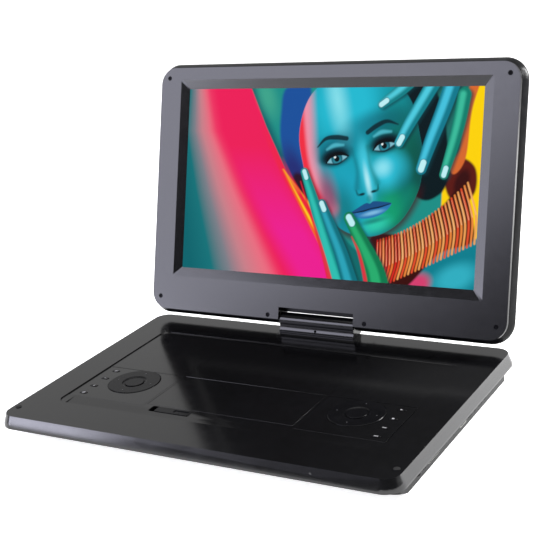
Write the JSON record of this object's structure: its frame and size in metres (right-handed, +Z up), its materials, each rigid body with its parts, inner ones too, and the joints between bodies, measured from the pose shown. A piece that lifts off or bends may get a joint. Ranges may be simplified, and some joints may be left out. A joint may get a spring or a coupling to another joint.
{
  "type": "portable dvd player",
  "caption": "Clamshell portable disc player: flat base with disc door, round pads and side ports, and a wide screen lid on a swivelling and tilting hinge block.",
  "frame": {"origin": "bottom centre of the whole object with the lid leaning back 17.9 degrees, on the table surface", "axes": "+X to the user's right, +Y away from the user, +Z up"},
  "size_m": [0.4186, 0.3556, 0.2956],
  "materials": {
    "gloss_black": "high-gloss moulded ABS",
    "bezel_black": "high-gloss moulded ABS",
    "satin_black": "fine textured ABS",
    "pad_black": "satin ABS",
    "key_black": "satin ABS",
    "tray_black": "fine textured ABS",
    "turntable_black": "acetal",
    "socket_black": "moulded nylon",
    "rubber": "moulded rubber",
    "silicone_grey": "silicone",
    "steel": "turned",
    "pressed_steel": "zinc plated sheet",
    "plated_shell": "nickel plated",
    "screw_black": "black zinc",
    "battery_wrap": "shrink wrap",
    "speaker_black": "paper cone and frame",
    "circuit_board": "solder mask",
    "gear_white": "acetal",
    "lens_glass": "polished",
    "smoked_window": "smoked acrylic",
    "screen": "coated screen film",
    "backlight_white": "moulded polycarbonate"
  },
  "bodies": {
    "base": {"audio_jacks": "socket_black", "base_bottom_shell": "satin_black", "base_screws": "screw_black", "base_top_shell": "gloss_black", "battery_cover": "satin_black", "battery_pack": "battery_wrap", "card_slot": "plated_shell", "chassis_dampers": "rubber", "control_bodies": "socket_black", "dc_jack": "socket_black", "disc_tray": "tray_black", "door_hinge_pins": "steel", "drive_motors": "steel", "guide_rods": "steel", "key_mats": "silicone_grey", "keypad_boards": "circuit_board", "keypad_plates": "gloss_black", "led_window": "smoked_window", "lid_bumpers": "rubber", "main_board": "circuit_board", "rubber_feet": "rubber", "sled_chassis": "pressed_steel", "speakers": "speaker_black", "usb_port": "plated_shell"},
    "door": {"disc_door": "gloss_black"},
    "spindle": {"turntable": "turntable_black", "spindle_shaft": "steel"},
    "sled": {"pickup_carriage": "tray_black", "pickup_lens": "lens_glass"},
    "gear": {"drive_gear": "gear_white"},
    "pinion": {"motor_pinion": "gear_white"},
    "latch": {"open_latch": "key_black"},
    "power": {"power_switch": "key_black"},
    "volume": {"volume_wheel": "key_black"},
    "swivel": {"hinge_carrier": "pressed_steel", "hinge_cover_front": "gloss_black", "hinge_cover_rear": "gloss_black", "hinge_cover_screw": "screw_black", "swivel_shaft": "steel", "swivel_fasteners": "steel", "tilt_pins": "steel"},
    "lid": {"lid_bezel": "bezel_black", "lid_back_shell": "satin_black", "lid_screws": "screw_black", "lcd_panel": "screen", "backlight_tray": "backlight_white", "lcd_driver_board": "circuit_board", "hinge_brackets": "pressed_steel"},
    "ring_left": {"pad_ring_left": "pad_black"},
    "button_left": {"pad_button_left": "pad_black"},
    "keycap_left_1": {"key_left_1": "key_black"},
    "keycap_left_2": {"key_left_2": "key_black"},
    "keycap_left_3": {"key_left_3": "key_black"},
    "keycap_left_4": {"key_left_4": "key_black"},
    "ring_right": {"pad_ring_right": "pad_black"},
    "button_right": {"pad_button_right": "pad_black"},
    "keycap_right_1": {"key_right_1": "key_black"},
    "keycap_right_2": {"key_right_2": "key_black"},
    "keycap_right_3": {"key_right_3": "key_black"},
    "keycap_right_4": {"key_right_4": "key_black"}
  },
  "joints": [
    {"name": "swivel_turn", "type": "hinge", "parent": "base", "child": "swivel", "pos_m": [0, 0.08936, 0.0294], "axis": [0, 0, 1], "range_deg": [-180, 0]},
    {"name": "lid_tilt", "type": "hinge", "parent": "swivel", "child": "lid", "pos_m": [0, 0.08936, 0.0402], "axis": [-1, 0, 0], "range_deg": [-107.9, 72.1]},
    {"name": "door_hinge", "type": "hinge", "parent": "base", "child": "door", "pos_m": [0, 0.04297, 0.0247], "axis": [-1, 0, 0], "range_deg": [0, 70]},
    {"name": "spindle_spin", "type": "hinge", "parent": "base", "child": "spindle", "pos_m": [0, -0.03113, 0.022], "axis": [0, 0, 1], "continuous": true},
    {"name": "sled_slide", "type": "slide", "parent": "base", "child": "sled", "axis": [0, 1, 0], "range_m": [0, 0.03]},
    {"name": "gear_spin", "type": "hinge", "parent": "base", "child": "gear", "pos_m": [-0.039, 0.00987, 0.0147], "axis": [0, 0, 1], "range_deg": [-5, 220]},
    {"name": "pinion_spin", "type": "hinge", "parent": "base", "child": "pinion", "pos_m": [-0.039, -0.00134, 0.0147], "axis": [0, 0, 1], "range_deg": [-545, 8]},
    {"name": "latch_slide", "type": "slide", "parent": "base", "child": "latch", "axis": [-1, 0, 0], "range_m": [0, 0.006], "stiffness_N_per_m": 150, "springref_m": -0.002},
    {"name": "power_slide", "type": "slide", "parent": "base", "child": "power", "axis": [0, 1, 0], "range_m": [0, 0.004]},
    {"name": "volume_turn", "type": "hinge", "parent": "base", "child": "volume", "pos_m": [0.1954, -0.12313, 0.0099], "axis": [0, 0, 1], "range_deg": [-140, 140]},
    {"name": "ring_left_press", "type": "slide", "parent": "base", "child": "ring_left", "axis": [0, 0, -1], "range_m": [0, 0.0006], "stiffness_N_per_m": 1200, "springref_m": -0.0004},
    {"name": "button_left_press", "type": "slide", "parent": "base", "child": "button_left", "axis": [0, 0, -1], "range_m": [0, 0.0006], "stiffness_N_per_m": 800, "springref_m": -0.0004},
    {"name": "key_left_1_press", "type": "slide", "parent": "base", "child": "keycap_left_1", "axis": [0, 0, -1], "range_m": [0, 0.0006], "stiffness_N_per_m": 400, "springref_m": -0.0003},
    {"name": "key_left_2_press", "type": "slide", "parent": "base", "child": "keycap_left_2", "axis": [0, 0, -1], "range_m": [0, 0.0006], "stiffness_N_per_m": 400, "springref_m": -0.0003},
    {"name": "key_left_3_press", "type": "slide", "parent": "base", "child": "keycap_left_3", "axis": [0, 0, -1], "range_m": [0, 0.0006], "stiffness_N_per_m": 400, "springref_m": -0.0003},
    {"name": "key_left_4_press", "type": "slide", "parent": "base", "child": "keycap_left_4", "axis": [0, 0, -1], "range_m": [0, 0.0006], "stiffness_N_per_m": 400, "springref_m": -0.0003},
    {"name": "ring_right_press", "type": "slide", "parent": "base", "child": "ring_right", "axis": [0, 0, -1], "range_m": [0, 0.0006], "stiffness_N_per_m": 1200, "springref_m": -0.0004},
    {"name": "button_right_press", "type": "slide", "parent": "base", "child": "button_right", "axis": [0, 0, -1], "range_m": [0, 0.0006], "stiffness_N_per_m": 800, "springref_m": -0.0004},
    {"name": "key_right_1_press", "type": "slide", "parent": "base", "child": "keycap_right_1", "axis": [0, 0, -1], "range_m": [0, 0.0006], "stiffness_N_per_m": 400, "springref_m": -0.0003},
    {"name": "key_right_2_press", "type": "slide", "parent": "base", "child": "keycap_right_2", "axis": [0, 0, -1], "range_m": [0, 0.0006], "stiffness_N_per_m": 400, "springref_m": -0.0003},
    {"name": "key_right_3_press", "type": "slide", "parent": "base", "child": "keycap_right_3", "axis": [0, 0, -1], "range_m": [0, 0.0006], "stiffness_N_per_m": 400, "springref_m": -0.0003},
    {"name": "key_right_4_press", "type": "slide", "parent": "base", "child": "keycap_right_4", "axis": [0, 0, -1], "range_m": [0, 0.0006], "stiffness_N_per_m": 400, "springref_m": -0.0003}
  ],
  "couplings": [
    {"joint": "gear_spin", "follows": "sled_slide", "rad_per_m": 125},
    {"joint": "pinion_spin", "follows": "sled_slide", "rad_per_m": -312.5}
  ]
}
